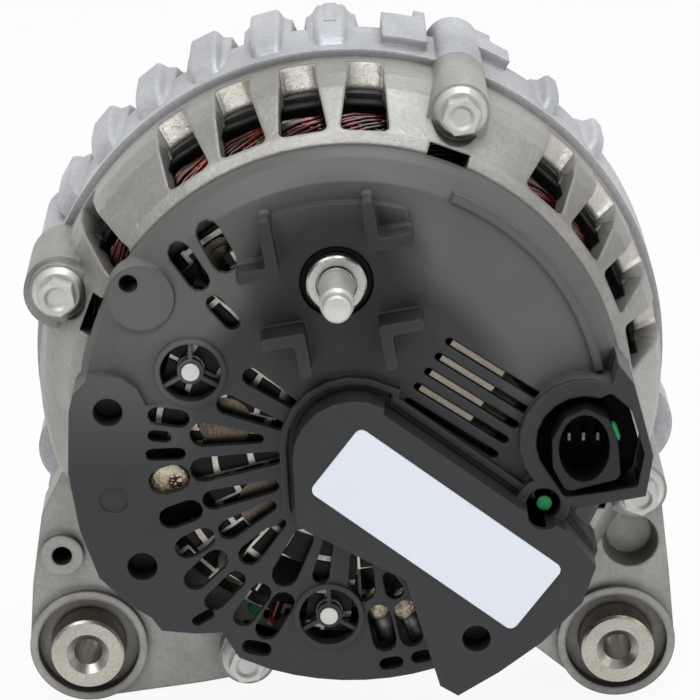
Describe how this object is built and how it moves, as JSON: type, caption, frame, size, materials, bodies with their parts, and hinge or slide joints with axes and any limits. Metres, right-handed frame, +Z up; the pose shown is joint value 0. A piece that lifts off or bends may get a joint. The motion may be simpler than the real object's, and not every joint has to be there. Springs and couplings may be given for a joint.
{
  "type": "car alternator",
  "caption": "Belt-driven car alternator with cast windowed brackets, a slotted plastic rear cover over its rectifier and regulator, an output stud, a plug socket and ears with tapped bushes.",
  "frame": {"origin": "on the rotor axis, in the middle plane of the drive belt on the pulley", "axes": "+Y along the rotor axis towards the pulley end, +Z up and away from the mounting ears, +X to the right as seen from the covered rear"},
  "size_m": [0.1625, 0.1605, 0.1636],
  "materials": {
    "cast_aluminium": "as cast, satin",
    "machined_aluminium": "turned and stamped",
    "core_steel": "varnished laminations",
    "enamelled_copper": "red enamel",
    "bare_copper": "polished",
    "zinc_plated_steel": "zinc plated",
    "bearing_steel": "ground",
    "pole_steel": "forged",
    "pulley_steel": "black coated",
    "bush_steel": "dull, slightly yellow",
    "black_nylon": "glass filled",
    "bobbin_nylon": "natural",
    "carbon": "carbon brush",
    "label_film": "blank pale film",
    "pin_brass": "tin plated brass",
    "sink_aluminium": "dull beige"
  },
  "bodies": {
    "housing": {"front_housing": "cast_aluminium", "rear_housing": "cast_aluminium", "stator_core": "core_steel", "stator_winding": "enamelled_copper", "phase_leads": "enamelled_copper", "through_bolts": "zinc_plated_steel", "front_bearing_outer_ring": "bearing_steel", "bearing_retainer": "zinc_plated_steel", "retainer_screws": "zinc_plated_steel", "rear_bearing_outer_ring": "bearing_steel", "rear_bearing_sleeve": "black_nylon", "negative_plate": "machined_aluminium", "positive_plate": "machined_aluminium", "negative_diodes": "bare_copper", "positive_diodes": "bare_copper", "lead_frame": "black_nylon", "rectifier_studs": "zinc_plated_steel", "output_stud": "zinc_plated_steel", "output_collar": "machined_aluminium", "output_insulator": "black_nylon", "regulator_body": "black_nylon", "regulator_heat_sink": "sink_aluminium", "regulator_screws": "zinc_plated_steel", "connector_pins": "pin_brass", "brush_holder": "black_nylon", "brush_spring_1": "pin_brass", "brush_spring_2": "pin_brass", "rear_cover": "black_nylon", "label_plate": "label_film"},
    "rotor": {"rotor_shaft": "bearing_steel", "front_pole": "pole_steel", "rear_pole": "pole_steel", "field_bobbin": "bobbin_nylon", "field_winding": "enamelled_copper", "front_fan": "zinc_plated_steel", "rear_fan": "zinc_plated_steel", "slip_ring_hub": "black_nylon", "slip_rings": "bare_copper", "front_bearing_inner_ring": "bearing_steel", "rear_bearing_inner_ring": "bearing_steel", "front_spacer": "bearing_steel", "pulley": "pulley_steel", "pulley_nut": "zinc_plated_steel"},
    "front_balls": {"front_bearing_balls": "bearing_steel"},
    "rear_balls": {"rear_bearing_balls": "bearing_steel"},
    "brush_1": {"brush_1": "carbon"},
    "brush_2": {"brush_2": "carbon"},
    "bush_left": {"bush_left": "bush_steel"},
    "bush_right": {"bush_right": "bush_steel"}
  },
  "joints": [
    {"name": "rotor_spin", "type": "hinge", "parent": "housing", "child": "rotor", "pos_m": [0, 0, 0], "axis": [0, 1, 0], "continuous": true},
    {"name": "front_balls_spin", "type": "hinge", "parent": "housing", "child": "front_balls", "pos_m": [0, 0, 0], "axis": [0, 1, 0], "continuous": true},
    {"name": "rear_balls_spin", "type": "hinge", "parent": "housing", "child": "rear_balls", "pos_m": [0, 0, 0], "axis": [0, 1, 0], "continuous": true},
    {"name": "brush_1_slide", "type": "slide", "parent": "housing", "child": "brush_1", "axis": [0.7986, 0, -0.6018], "range_m": [0, 0.004], "stiffness_N_per_m": 200, "springref_m": -0.01, "deforming": ["brush_spring_1"]},
    {"name": "brush_2_slide", "type": "slide", "parent": "housing", "child": "brush_2", "axis": [0.7986, 0, -0.6018], "range_m": [0, 0.004], "stiffness_N_per_m": 200, "springref_m": -0.01, "deforming": ["brush_spring_2"]},
    {"name": "bush_left_slide", "type": "slide", "parent": "housing", "child": "bush_left", "axis": [0, 1, 0], "range_m": [0, 0.003]},
    {"name": "bush_right_slide", "type": "slide", "parent": "housing", "child": "bush_right", "axis": [0, 1, 0], "range_m": [0, 0.003]}
  ],
  "couplings": [
    {"joint": "front_balls_spin", "follows": "rotor_spin", "ratio": 0.3819},
    {"joint": "rear_balls_spin", "follows": "rotor_spin", "ratio": 0.3812}
  ]
}
